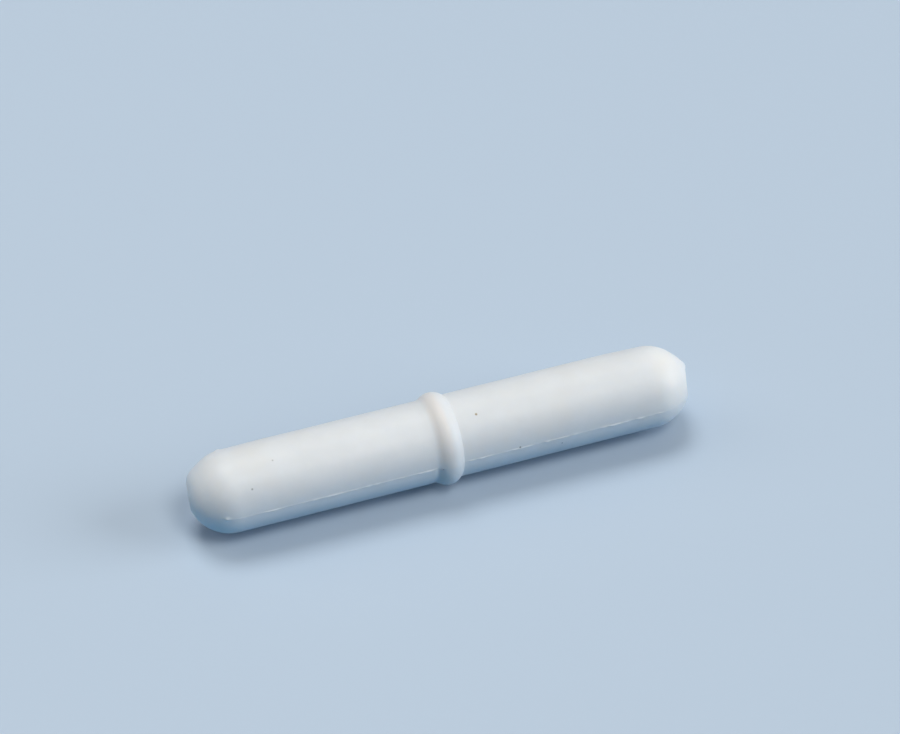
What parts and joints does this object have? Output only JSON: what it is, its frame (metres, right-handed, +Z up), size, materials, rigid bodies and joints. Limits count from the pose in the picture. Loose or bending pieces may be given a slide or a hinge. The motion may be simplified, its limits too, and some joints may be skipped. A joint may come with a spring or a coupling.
{
  "type": "magnetic stir bar",
  "caption": "Cylindrical magnetic stir bar: a rod magnet sealed in a white moulded jacket with domed ends and a pivot ring round its middle, spun by a stirrer plate to mix a liquid.",
  "frame": {"origin": "middle of the bar on its own axis, which is also the centre of the pivot ring and of the overall box", "axes": "+X along the bar towards its right-hand end, +Z up with the bar lying down, so that the mould's parting line lies in the XY plane"},
  "size_m": [0.05, 0.009, 0.009],
  "materials": {
    "white_fluoropolymer": "satin moulded white, faintly waxy, with a thin parting-line flash",
    "magnet_alloy": "cast grey alloy, ground round its side"
  },
  "bodies": {
    "root": {"moulded_jacket": "white_fluoropolymer", "rod_magnet": "magnet_alloy"}
  },
  "joints": []
}
